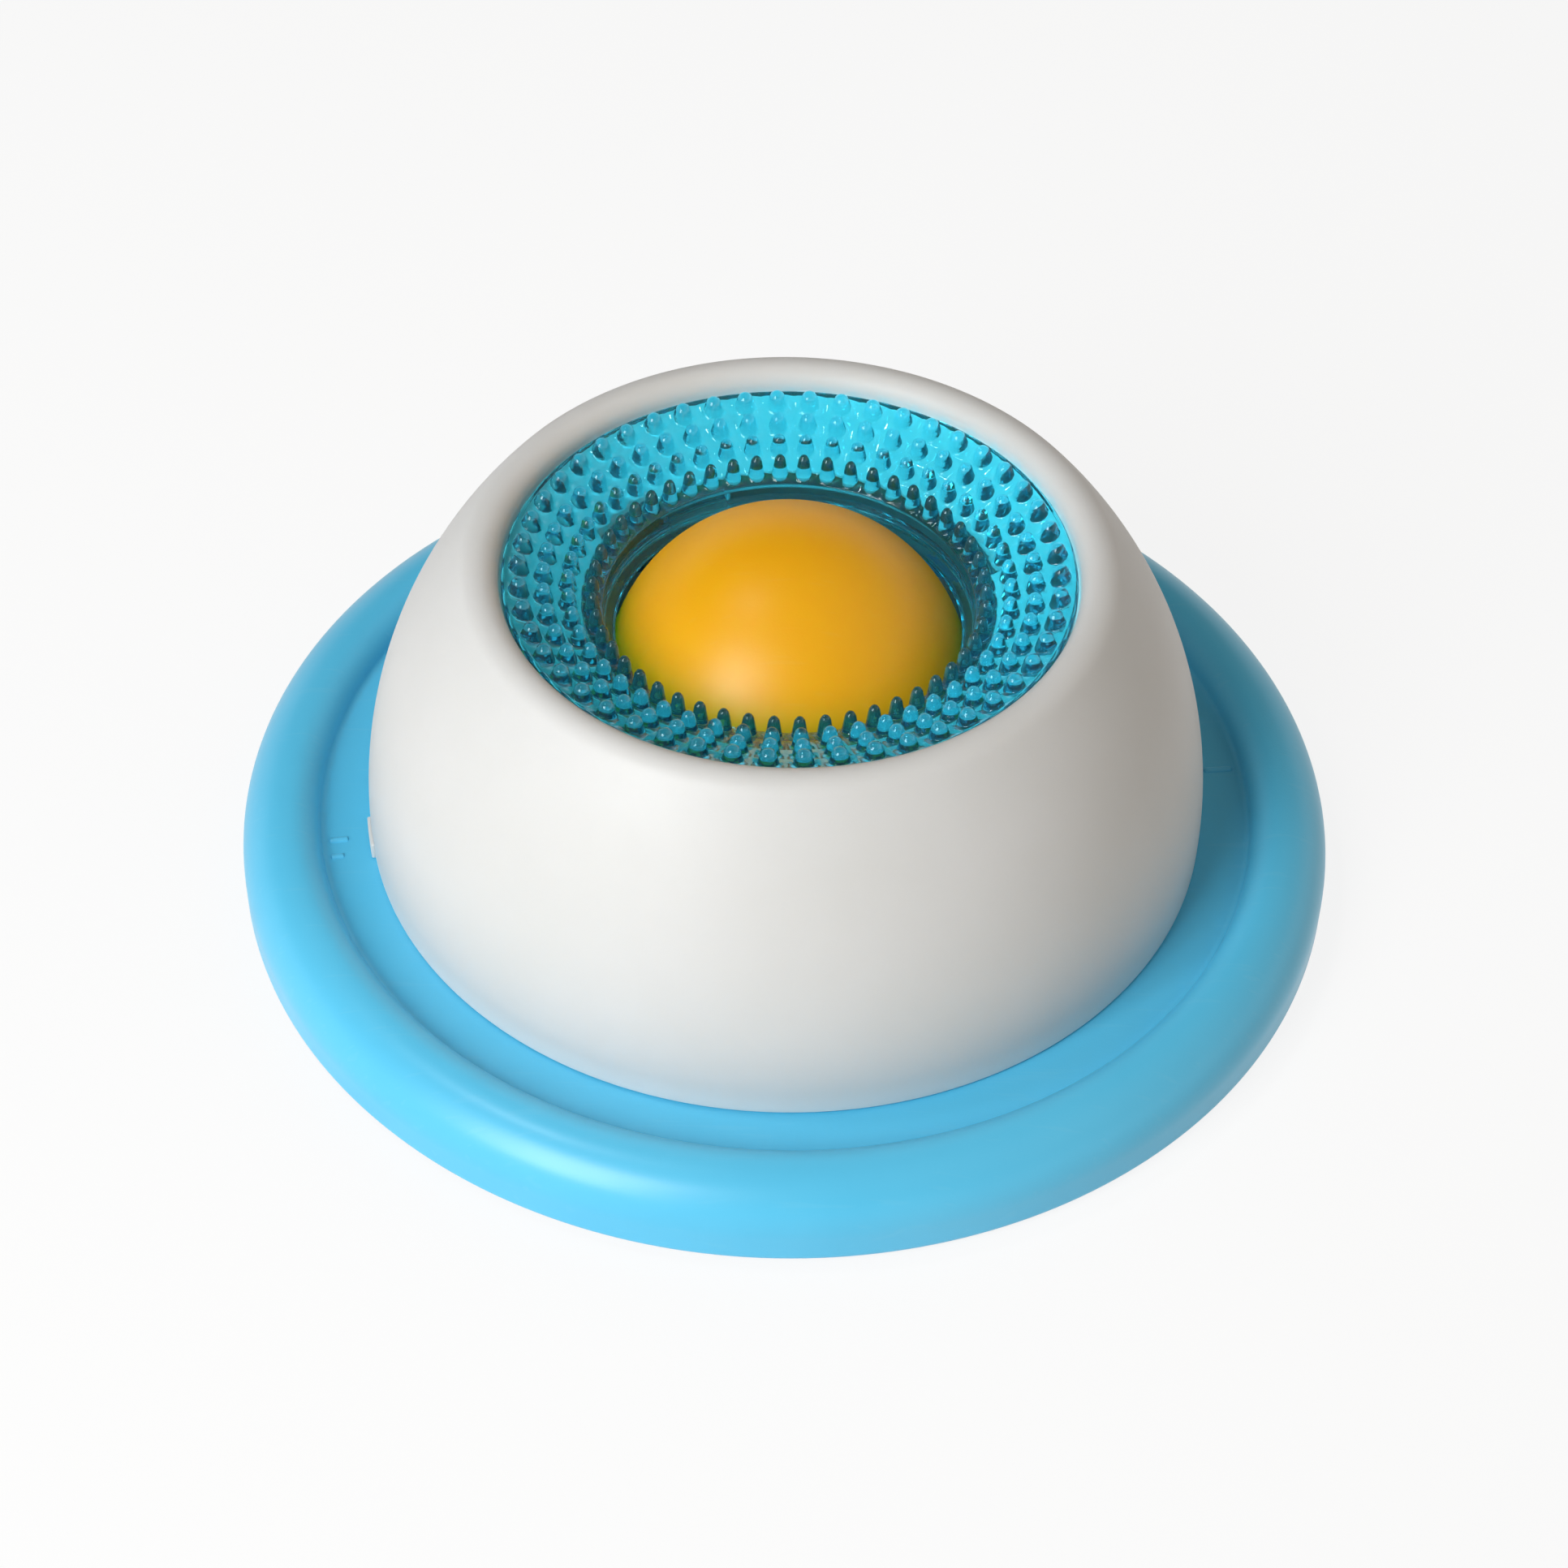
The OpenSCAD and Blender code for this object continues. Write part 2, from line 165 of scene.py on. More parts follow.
# one point for each place, and four-sided faces that lost a side as triangles
def weld(points, faces):
    spots = np.round(points / sameSpot["mesh"]).astype(np.int64)
    _, first, back = np.unique(spots, axis=0, return_index=True, return_inverse=True)
    faces = back.ravel()[faces]
    same = faces == np.roll(faces, -1, axis=1)
    lost = same.sum(axis=1)
    thin, where = faces[lost == 1], np.argmax(same[lost == 1], axis=1)
    triangles = np.stack([thin[np.arange(len(thin)), (where + k) % 4] for k in (1, 2, 3)], axis=1)
    return points[first], faces[lost == 0], triangles


# finished piece: welded, outward, smooth, with its finish, its body and the solid that it stands for
def putPiece(name, surface, finish, body, node):
    points, quads, triangles = weld(*surface)
    mesh = bpy.data.meshes.new(name)
    mesh.from_pydata(points.tolist(), [], quads.tolist() + triangles.tolist())
    shell = bmesh.new()
    shell.from_mesh(mesh)
    bmesh.ops.recalc_face_normals(shell, faces=shell.faces)
    shell.to_mesh(mesh)
    shell.free()
    mesh.shade_smooth()
    mesh.materials.append(finish)
    piece = bpy.data.objects.new(name, mesh)
    bpy.context.scene.collection.objects.link(piece)
    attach(piece, body)
    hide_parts(node)


# Finishes

skinValues = {
    "grainDetail": 2, "cloudDetail": 3, "scuffDetail": 1, "grainDepth": 0.0001, "flowDepth": 0.0002,
    "clouds": (0.3, 0.7), "scuffEdges": (0.66, 0.74), "scuffDull": 0.2, "plasticIor": 1.5,
    "scuffTurns": ((0.4, 0.24, 0.4), (-0.9, -0.54, -0.9)),
    "scuffStretches": ((1.0, 14.0, 7.0), (1.0, 11.0, 5.5)),
}


def srgb(red, green, blue):
    values = np.array([red, green, blue]) / 255
    linear = np.where(values <= 0.04045, values / 12.92, ((values + 0.055) / 1.055) ** 2.4)
    return (*[float(v) for v in linear], 1.0)


def socketed(name, inputs, outputs):
    group = bpy.data.node_groups.new(name, "ShaderNodeTree")
    for label, value in inputs.items():
        plug = group.interface.new_socket(label, in_out="INPUT", socket_type="NodeSocketFloat")
        plug.default_value = value
    for label, kind in outputs.items():
        group.interface.new_socket(label, in_out="OUTPUT", socket_type=kind)
    return group, group.nodes.new("NodeGroupInput"), group.nodes.new("NodeGroupOutput")


def mathNode(tree, operation, first, second=None):
    node = tree.nodes.new("ShaderNodeMath")
    node.operation = operation
    for plug, value in zip(node.inputs, (first, second)):
        if isinstance(value, (int, float)):
            plug.default_value = value
        elif value is not None:
            tree.links.new(value, plug)
    return node.outputs[0]


# moulded skin: fine even grain for the bump, and slow clouds for tone and gloss
def makeSkin():
    group, given, out = socketed("mouldedSkin", {"Grain Scale": 2600.0, "Cloud Scale": 45.0},
                                 {"Grain": "NodeSocketFloat", "Clouds": "NodeSocketFloat"})
    place = group.nodes.new("ShaderNodeTexCoord")
    fine = group.nodes.new("ShaderNodeTexNoise")
    fine.inputs["Detail"].default_value = skinValues["grainDetail"]
    slow = group.nodes.new("ShaderNodeTexNoise")
    slow.inputs["Detail"].default_value = skinValues["cloudDetail"]
    for noise, plug in ((fine, "Grain Scale"), (slow, "Cloud Scale")):
        group.links.new(place.outputs["Object"], noise.inputs["Vector"])
        group.links.new(given.outputs[plug], noise.inputs["Scale"])
    group.links.new(fine.outputs["Fac"], out.inputs["Grain"])
    group.links.new(slow.outputs["Fac"], out.inputs["Clouds"])
    return group


# handling marks: sparse hairline scuffs where two stretched noises peak together
def makeScuffs():
    group, given, out = socketed("handlingScuffs", {"Scale": 90.0, "Amount": 0.5}, {"Mask": "NodeSocketFloat"})
    place = group.nodes.new("ShaderNodeTexCoord")
    masks = []
    for turns, stretches in zip(skinValues["scuffTurns"], skinValues["scuffStretches"]):
        lie = group.nodes.new("ShaderNodeMapping")
        lie.inputs["Rotation"].default_value = turns
        lie.inputs["Scale"].default_value = stretches
        noise = group.nodes.new("ShaderNodeTexNoise")
        noise.inputs["Detail"].default_value = skinValues["scuffDetail"]
        group.links.new(place.outputs["Object"], lie.inputs["Vector"])
        group.links.new(lie.outputs["Vector"], noise.inputs["Vector"])
        group.links.new(given.outputs["Scale"], noise.inputs["Scale"])
        fade = group.nodes.new("ShaderNodeMapRange")
        fade.inputs["From Min"].default_value, fade.inputs["From Max"].default_value = skinValues["scuffEdges"]
        group.links.new(noise.outputs["Fac"], fade.inputs["Value"])
        masks.append(fade.outputs["Result"])
    either = mathNode(group, "MAXIMUM", *masks)
    group.links.new(mathNode(group, "MULTIPLY", either, given.outputs["Amount"]), out.inputs["Mask"])
    return group


skinGroup, scuffGroup = makeSkin(), makeScuffs()


def placed(tree, group, **values):
    node = tree.nodes.new("ShaderNodeGroup")
    node.node_tree = group
    for label, value in values.items():
        node.inputs[label.replace("_", " ")].default_value = value
    return node


def ranged(tree, value, low, high):
    node = tree.nodes.new("ShaderNodeMapRange")
    node.inputs["From Min"].default_value, node.inputs["From Max"].default_value = skinValues["clouds"]
    node.inputs["To Min"].default_value = low
    node.inputs["To Max"].default_value = high
    tree.links.new(value, node.inputs["Value"])
    return node.outputs["Result"]


# mix of two tones: inputs 6 and 7 are its colours, output 2 the mixed colour
def mixed(tree, share, first, second):
    node = tree.nodes.new("ShaderNodeMix")
    node.data_type = "RGBA"
    tree.links.new(share, node.inputs["Factor"])
    for plug, value in zip((node.inputs[6], node.inputs[7]), (first, second)):
        if isinstance(value, tuple):
            plug.default_value = value
        else:
            tree.links.new(value, plug)
    return node.outputs[2]


def newMaterial(name):
    material = bpy.data.materials.new(name)
    material.use_nodes = True
    return material, material.node_tree, material.node_tree.nodes["Principled BSDF"]


def bumped(tree, shader, height, strength, distance):
    bump = tree.nodes.new("ShaderNodeBump")
    bump.inputs["Strength"].default_value = strength
    bump.inputs["Distance"].default_value = distance
    tree.links.new(height, bump.inputs["Height"])
    tree.links.new(bump.outputs["Normal"], shader.inputs["Normal"])


# moulded plastic: two near tones in slow clouds, grain in the bump, scuffs that lighten and dull
def plastic(name, values):
    material, tree, shader = newMaterial(name)
    skin = placed(tree, skinGroup, Grain_Scale=values["grainScale"], Cloud_Scale=values["cloudScale"])
    scuffs = placed(tree, scuffGroup, Scale=values["scuffScale"], Amount=values["scuffs"])
    tone = mixed(tree, ranged(tree, skin.outputs["Clouds"], 0, 1), values["tone"], values["toneFar"])
    tree.links.new(mixed(tree, scuffs.outputs["Mask"], tone, values["scuffTone"]), shader.inputs["Base Color"])
    rough = ranged(tree, skin.outputs["Clouds"], *values["rough"])
    dull = mathNode(tree, "MULTIPLY", scuffs.outputs["Mask"], skinValues["scuffDull"])
    tree.links.new(mathNode(tree, "ADD", rough, dull), shader.inputs["Roughness"])
    bumped(tree, shader, skin.outputs["Grain"], values["grain"], skinValues["grainDepth"])
    shader.inputs["IOR"].default_value = skinValues["plasticIor"]
    for label, value in values.get("sockets", {}).items():
        shader.inputs[label].default_value = value
    return material


trayFinish = plastic("skyBluePlastic", {
    "tone": srgb(94, 201, 241), "toneFar": srgb(88, 197, 238), "rough": (0.3, 0.37),
    "grain": 0.12, "grainScale": 2600.0, "cloudScale": 40.0,
    "scuffs": 0.06, "scuffScale": 70.0, "scuffTone": srgb(150, 216, 240), "sockets": {"Specular IOR Level": 0.5},
})
domeFinish = plastic("warmWhitePlastic", {
    "tone": srgb(222, 221, 220), "toneFar": srgb(218, 217, 215), "rough": (0.46, 0.54),
    "grain": 0.1, "grainScale": 2400.0, "cloudScale": 32.0,
    "scuffs": 0.04, "scuffScale": 60.0, "scuffTone": srgb(214, 212, 210),
    "sockets": {"Subsurface Weight": 0.35, "Subsurface Scale": 0.004, "Subsurface Radius": (1.0, 0.95, 0.88)},
})
cupFinish = plastic("plainWhitePlastic", {
    "tone": srgb(236, 237, 236), "toneFar": srgb(229, 231, 231), "rough": (0.36, 0.46),
    "grain": 0.08, "grainScale": 2400.0, "cloudScale": 36.0,
    "scuffs": 0.06, "scuffScale": 80.0, "scuffTone": srgb(212, 214, 214),
})
ballFinish = plastic("eggYellowPlastic", {
    "tone": srgb(249, 182, 7), "toneFar": srgb(246, 175, 4), "rough": (0.38, 0.44),
    "grain": 0.12, "grainScale": 2800.0, "cloudScale": 60.0,
    "scuffs": 0.05, "scuffScale": 90.0, "scuffTone": srgb(246, 206, 110),
    "sockets": {"Subsurface Weight": 0.2, "Subsurface Scale": 0.002, "Subsurface Radius": (1.0, 0.5, 0.1),
                "Specular IOR Level": 0.45, "Sheen Weight": 0.7, "Sheen Roughness": 0.6,
                "Sheen Tint": (1.0, 0.42, 0.0, 1.0)},
})
padFinish = plastic("darkRubber", {
    "tone": srgb(58, 63, 68), "toneFar": srgb(48, 52, 56), "rough": (0.7, 0.82),
    "grain": 0.5, "grainScale": 3200.0, "cloudScale": 220.0,
    "scuffs": 0.25, "scuffScale": 220.0, "scuffTone": srgb(92, 96, 100),
})


# clear tinted plastic: glossy, tinted through its depth, with faint flow lines, and its shadow lets light pass
def clearPlastic(name, values):
    material, tree, shader = newMaterial(name)
    skin = placed(tree, skinGroup, Grain_Scale=values["grainScale"], Cloud_Scale=values["cloudScale"])
    tree.links.new(mixed(tree, ranged(tree, skin.outputs["Clouds"], 0, 1), values["tone"], values["toneFar"]),
                   shader.inputs["Base Color"])
    tree.links.new(ranged(tree, skin.outputs["Grain"], *values["rough"]), shader.inputs["Roughness"])
    bumped(tree, shader, skin.outputs["Clouds"], values["flow"], skinValues["flowDepth"])
    shader.inputs["IOR"].default_value = values["ior"]
    shader.inputs["Transmission Weight"].default_value = values["clear"]
    depth = tree.nodes.new("ShaderNodeVolumeAbsorption")
    depth.inputs["Color"].default_value = values["depthTone"]
    depth.inputs["Density"].default_value = values["depth"]
    rays = tree.nodes.new("ShaderNodeLightPath")
    passing = tree.nodes.new("ShaderNodeBsdfTransparent")
    passing.inputs["Color"].default_value = values["shadowTone"]
    mix = tree.nodes.new("ShaderNodeMixShader")
    end = tree.nodes["Material Output"]
    tree.links.new(rays.outputs["Is Shadow Ray"], mix.inputs["Fac"])
    tree.links.new(shader.outputs["BSDF"], mix.inputs[1])
    tree.links.new(passing.outputs["BSDF"], mix.inputs[2])
    tree.links.new(mix.outputs["Shader"], end.inputs["Surface"])
    tree.links.new(depth.outputs["Volume"], end.inputs["Volume"])
    return material


ringFinish = clearPlastic("clearAquaPlastic", {
    "tone": srgb(142, 245, 252), "toneFar": srgb(134, 241, 249), "rough": (0.01, 0.03), "clear": 0.96,
    "ior": 1.5, "flow": 0.4, "grainScale": 700.0, "cloudScale": 260.0,
    "depth": 250.0, "depthTone": (0.0, 0.73, 0.85, 1.0), "shadowTone": (0.98, 0.99, 1.0, 1.0),
})
print("finishes made")


# Tray

trayLow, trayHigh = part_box("base_tray")
tray = {
    "radius": trayHigh.y, "bottom": trayLow.z, "crest": 0.0142, "floor": 0.0094, "wall": 0.0022,
    "rimOuter": 0.0082, "rimInner": 0.0047, "crease": 0.0012, "hole": 0.0522, "holeEdge": 0.0004,
    "underRound": 0.0005, "segments": 256,
}
marks = {
    "turns": (189.5, 192.4, 366.5), "lengths": (0.0033, 0.0022, 0.0052), "width": 0.0012, "rise": 0.0004,
    "gap": 0.0002, "sink": 0.0001,
}
hooks = {
    "count": 3, "angle": 24.0, "lugAngle": 20.0, "inner": 0.060698, "outer": 0.065398, "arm": 0.0149,
    "top": trayHigh.z, "stopTurn": -11.0, "stopAngle": 1.0, "edge": 0.0003, "stopEdge": 0.0002,
    "armSet": 0.0005, "stopLap": 0.0008, "stopShort": 0.0003,
}
feet = {
    "radius": 0.005, "thick": 0.002, "place": 0.07, "gap": 0.0002, "bossWall": 0.0012, "proud": trayLow.z,
    "bossEdge": 0.0003, "pocketEdge": 0.0002, "padFoot": 0.0005, "padTop": 0.0003, "segments": 48,
}


# middle of the fillet in the crease, which touches the floor and the rolled rim
def creaseMiddle(v):
    reach = v["rimInner"] + v["crease"]
    lift = v["floor"] + v["crease"] - (v["crest"] - v["rimInner"])
    return v["radius"] - v["rimOuter"] - math.sqrt(reach ** 2 - lift ** 2), v["floor"] + v["crease"]


# tray section: floor, crease fillet, rolled rim, wall and its underside
def traySection(v):
    rimMiddle = v["radius"] - v["rimOuter"]
    rollZ, bendZ = v["crest"] - v["rimInner"], v["crest"] - v["rimOuter"]
    crease = creaseMiddle(v)
    meet = math.degrees(math.atan2(crease[1] - rollZ, crease[0] - rimMiddle))
    edge = v["wall"] / 2
    innerTop = v["crest"] - v["wall"]
    under = v["floor"] - v["wall"]
    wallIn = v["radius"] - v["wall"]
    creaseIn = rimMiddle - v["rimInner"] + v["wall"]
    below = outline(
        [(wallIn, v["bottom"] + edge), (wallIn, innerTop), (creaseIn, innerTop), (creaseIn, under),
         (v["hole"], under), (v["hole"], v["floor"]), (crease[0], v["floor"])],
        [0, v["rimOuter"] - v["wall"], v["rimInner"] - v["wall"], v["underRound"], v["holeEdge"], v["holeEdge"], 0],
        closed=False, steps=10)
    return joined(
        arc(crease, v["crease"], -90, meet - 180 + 360 * (meet < 0), 8),
        arc((rimMiddle, rollZ), v["rimInner"], meet, 90, 14),
        arc((rimMiddle, bendZ), v["rimOuter"], 90, 0, 20),
        run((v["radius"], bendZ), (v["radius"], v["bottom"] + edge), 6),
        arc((v["radius"] - edge, v["bottom"] + edge), edge, 0, -180, 10),
        below[:-1])


# raised tick: a low bar with a round crown, sunk a little into the floor; along it, from u = -1 to 1, its width
# and height follow (1 - u^8)^(1/4), which rounds its ends
def tickBar(turn, length, v, outerEnd, floorZ):
    along, across = np.meshgrid(np.linspace(-1, 1, 17), np.linspace(0, 1, 13), indexing="ij")
    lean = np.pi * across
    swell = np.sqrt(np.sqrt(np.maximum(1 - along ** 8, 0)))
    x = outerEnd - length / 2 + along * length / 2
    y = v["width"] / 2 * np.cos(lean) * swell
    z = floorZ - v["sink"] + (v["rise"] + v["sink"]) * np.sin(lean) * swell
    return spun(x, y, z, turn), gridFaces(*x.shape)


# a section turned about its own middle line, at a foot's place
def atFoot(path, turn, v):
    spin = math.radians(turn)
    middle = (v["place"] * math.cos(spin), v["place"] * math.sin(spin))
    return revolve(path, evenTurns(v["segments"]), False, middle)


# boss under the floor with a shallow pocket for its pad
def padBoss(turn, v, underZ):
    outer, pocket = v["radius"] + v["bossWall"], v["radius"] + v["gap"]
    path = outline([(0, underZ), (outer, underZ), (outer, v["proud"]), (pocket, v["proud"]),
                    (pocket, v["thick"]), (0, v["thick"])],
                   [0, 0, v["bossEdge"], v["pocketEdge"], v["pocketEdge"], 0], False, 4)
    return atFoot(path, turn, v)


# pad: a low round plug with soft edges
def footPad(turn, v):
    path = outline([(0, 0), (v["radius"], 0), (v["radius"], v["thick"]), (0, v["thick"])],
                   [0, v["padFoot"], v["padTop"], 0], False, 6)
    return atFoot(path, turn, v)


def spreadTurns(count, first=0.0):
    return [first + i * 360 / count for i in range(count)]


tickEnd = creaseMiddle(tray)[0] - marks["gap"]
floorMiddle = tray["floor"] - tray["wall"] / 2
footTurns = spreadTurns(4, 45.0)
traySurfaces = [revolve(traySection(tray), evenTurns(tray["segments"]))]
traySurfaces += [tickBar(turn, length, marks, tickEnd, tray["floor"])
                 for turn, length in zip(marks["turns"], marks["lengths"])]
traySurfaces += [padBoss(turn, feet, floorMiddle) for turn in footTurns]
for turn in spreadTurns(hooks["count"]):
    upright = hooks["inner"] + tray["wall"]
    traySurfaces.append(arcBlock((hooks["inner"], floorMiddle), (upright, hooks["top"]),
                                 turn, hooks["angle"], hooks["edge"]))
    traySurfaces.append(arcBlock((hooks["inner"] + hooks["armSet"], hooks["arm"]), (hooks["outer"], hooks["top"]),
                                 turn, hooks["angle"], hooks["edge"]))
    traySurfaces.append(arcBlock((upright - hooks["stopLap"], floorMiddle),
                                 (hooks["outer"] - hooks["stopShort"], hooks["arm"] + hooks["stopLap"]),
                                 turn + hooks["stopTurn"], hooks["stopAngle"], hooks["stopEdge"]))
putPiece("trayShell", together(traySurfaces), trayFinish, "tray", "base_tray")
for number, turn in enumerate(footTurns, 1):
    putPiece(f"softPad{number}", footPad(turn, feet), padFinish, "tray", f"foot_pad_{number}")
print("tray and pads made")


# Food cup

cupLow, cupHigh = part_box("food_cup")
_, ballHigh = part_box("ball_upper_half")
ball = {
    "radius": ballHigh.x, "centre": ballHigh.z - ballHigh.x, "wall": 0.002, "lap": 0.003, "gap": 0.00005,
    "seam": 0.00018, "seamRound": 0.0001, "lapRound": 0.0002, "segments": 192,
}
cup = {
    "inner": 0.05, "wall": 0.002, "under": cupLow.z, "top": cupHigh.z, "flange": cupHigh.x, "flangeZ": 0.0094,
    "fillet": 0.008, "edge": 0.0004, "lip": 0.0008, "ribs": 3, "ribReach": 0.016, "ribWidth": 0.002,
    "ribGap": 0.0003, "ribRoot": 0.0005, "segments": 192,
}


# cup section: floor, foot rounded inside and out about one middle, flange that it hangs by, wall with a soft lip
def cupSection(v):
    outer, floorZ = v["inner"] + v["wall"], v["under"] + v["wall"]
    middle = (v["inner"] - v["fillet"], floorZ + v["fillet"])
    outerRound = v["fillet"] + v["wall"]
    meet = math.degrees(math.asin((v["flangeZ"] - middle[1]) / outerRound))
    foot = joined(run((0, v["under"]), (middle[0], v["under"])), arc(middle, outerRound, -90, meet, 12))
    rest = outline(
        [foot[-1], (v["flange"], v["flangeZ"]), (v["flange"], v["flangeZ"] + v["wall"]),
         (outer, v["flangeZ"] + v["wall"]), (outer, v["top"]), (v["inner"], v["top"]), (v["inner"], floorZ),
         (0, floorZ)],
        [0, v["edge"], v["edge"], v["edge"], v["lip"], v["lip"], v["fillet"], 0], closed=False, steps=8)
    return joined(foot, rest)


# cradle rib: a thin upright wall whose top follows the ball at a small gap, from the middle outwards
def cradleRib(turn, v, b, floorZ):
    reach = np.linspace(0, v["ribReach"], 17)
    top = b["centre"] - np.sqrt((b["radius"] + v["ribGap"]) ** 2 - reach ** 2)
    low = np.full_like(reach, floorZ - v["ribRoot"])
    half = v["ribWidth"] / 2
    loop = np.stack([np.stack([reach, np.full_like(reach, side * half), height], axis=-1)
                     for side, height in ((-1, low), (1, low), (1, top), (-1, top))], axis=1)
    ends = [np.repeat(loop[k].mean(axis=0)[None], 4, axis=0)[None] for k in (0, -1)]
    points = np.concatenate([ends[0], loop, ends[1]])
    return spun(*np.moveaxis(points, -1, 0), turn), gridFaces(*points.shape[:2])


cupSurfaces = [revolve(cupSection(cup), evenTurns(cup["segments"]), False)]
cupSurfaces += [cradleRib(turn, cup, ball, cup["under"] + cup["wall"]) for turn in spreadTurns(cup["ribs"])]
putPiece("foodCup", together(cupSurfaces), cupFinish, "tray", "food_cup")
print("food cup made")


# Dome

domeLow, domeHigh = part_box("dome_shell")
dome = {
    "radius": domeHigh.y, "foot": domeLow.z, "crest": domeHigh.z, "sideArc": 0.077, "belly": 0.0032, "wall": 0.0022,
    "lipOuter": 0.004, "lipInner": 0.003, "ledgeTop": 0.057511, "ledgeDepth": 0.012509, "ledgeThick": 0.002,
    "ledgeSlope": 0.46809, "ledgeEdge": 0.0003, "footEdge": 0.0005, "segments": 256,
    "tabTurn": 191.0, "tabWidth": 0.0068, "tabHeight": 0.003, "tabProud": 0.0006, "tabEdge": 0.00025,
    "tabRoot": 0.0008, "lugRoot": 0.6, "insideRound": 0.0002, "footInner": 0.0003, "footOuter": 0.00045,
    "lugInner": 0.063198, "lugLow": 0.012, "lugHigh": 0.0146, "lugEdge": 0.0003,
    "notchRadius": 0.0352, "notchTurn": 24.0, "notchAngle": 22.0, "notchRamp": 0.1,
    "stopTurn": -11.0, "stopAngle": 1.0, "stopInner": 0.0333, "stopOuter": 0.0349, "stopLow": 0.046548,
    "stopHigh": 0.050552, "stopEdge": 0.0002,
}


# dome section: bellied side arc, lip arc that touches it, inner lip, mouth wall, ledge, and the inside
def domeSection(v):
    middleZ = v["foot"] + v["belly"]
    middleR = v["radius"] - math.sqrt(v["sideArc"] ** 2 - v["belly"] ** 2)
    touch = math.degrees(math.asin((v["crest"] - v["lipOuter"] - middleZ) / (v["sideArc"] - v["lipOuter"])))
    lipR = middleR + (v["sideArc"] - v["lipOuter"]) * math.cos(math.radians(touch))
    mouth = lipR - v["lipInner"]
    inside = v["sideArc"] - v["wall"]
    start = math.degrees(math.asin((v["footEdge"] - v["belly"]) / v["sideArc"]))
    startIn = math.degrees(math.asin((v["footEdge"] - v["belly"]) / inside))
    outerFoot = (middleR + v["sideArc"] * math.cos(math.radians(start)), v["foot"] + v["footEdge"])
    innerFoot = (middleR + inside * math.cos(math.radians(startIn)), v["foot"] + v["footEdge"])
    sheet = v["ledgeThick"] * math.sqrt(1 + v["ledgeSlope"] ** 2)
    ledgeIn, ledgeLow = mouth - v["ledgeDepth"], v["ledgeTop"] - v["ledgeDepth"] * v["ledgeSlope"]
    below = v["ledgeTop"] - sheet + v["wall"] * v["ledgeSlope"]
    mouthPart = outline(
        [(mouth, v["crest"] - v["lipInner"]), (mouth, v["ledgeTop"]), (ledgeIn, ledgeLow),
         (ledgeIn, ledgeLow - sheet), (mouth + v["wall"], below),
         (mouth + v["wall"], v["crest"] - v["lipInner"])],
        [0, v["ledgeEdge"], v["ledgeEdge"], v["ledgeEdge"], v["insideRound"], 0], closed=False, steps=6)
    footPart = outline([innerFoot, (innerFoot[0], v["foot"]), (outerFoot[0], v["foot"]), outerFoot],
                       [0, v["footInner"], v["footOuter"], 0], closed=False, steps=4)
    return joined(
        arc((middleR, middleZ), v["sideArc"], start, touch, 56),
        arc((lipR, v["crest"] - v["lipOuter"]), v["lipOuter"], touch, 90, 14),
        arc((lipR, v["crest"] - v["lipInner"]), v["lipInner"], 90, 180, 14),
        mouthPart,
        arc((lipR, v["crest"] - v["lipInner"]), v["lipInner"] - v["wall"], 180, 90, 8),
        arc((lipR, v["crest"] - v["lipOuter"]), v["lipOuter"] - v["wall"], 90, touch, 8),
        arc((middleR, middleZ), inside, touch, startIn, 40),
        footPart[:-1])


# notches: the ledge's inner edge steps back along its slope wherever the turn lies inside a notch
def notched(radius, height, turn):
    apart = 360 / hooks["count"]
    off = (np.degrees(turn) - dome["notchTurn"] + apart / 2) % apart - apart / 2
    inside = np.abs(off) < dome["notchAngle"] / 2
    stepped = np.where(inside, np.maximum(radius, dome["notchRadius"]), radius)
    return stepped, height + dome["ledgeSlope"] * (stepped - radius)


notchEnds = [turn + dome["notchTurn"] + side * (dome["notchAngle"] / 2 + near)
             for turn in spreadTurns(hooks["count"]) for side in (-1, 1)
             for near in (-dome["notchRamp"], dome["notchRamp"])]
domeTurns = np.sort(np.concatenate([evenTurns(dome["segments"]), np.radians(notchEnds)]))
domeSurfaces = [revolve(domeSection(dome), domeTurns, shape=notched)]
tabAngle = math.degrees(dome["tabWidth"] / dome["radius"])
domeSurfaces.append(arcBlock((dome["radius"] - dome["tabRoot"], dome["foot"]),
                             (dome["radius"] + dome["tabProud"], dome["foot"] + dome["tabHeight"]),
                             dome["tabTurn"], tabAngle, dome["tabEdge"]))
for turn in spreadTurns(hooks["count"]):
    lugOuter = dome["radius"] - dome["wall"] * dome["lugRoot"]
    domeSurfaces.append(arcBlock((dome["lugInner"], dome["lugLow"]), (lugOuter, dome["lugHigh"]),
                                 turn, hooks["lugAngle"], dome["lugEdge"]))
    domeSurfaces.append(arcBlock((dome["stopInner"], dome["stopLow"]), (dome["stopOuter"], dome["stopHigh"]),
                                 turn + dome["stopTurn"], dome["stopAngle"], dome["stopEdge"]))
putPiece("domeShell", together(domeSurfaces), domeFinish, "dome", "dome_shell")
print("dome made")


# Lick ring

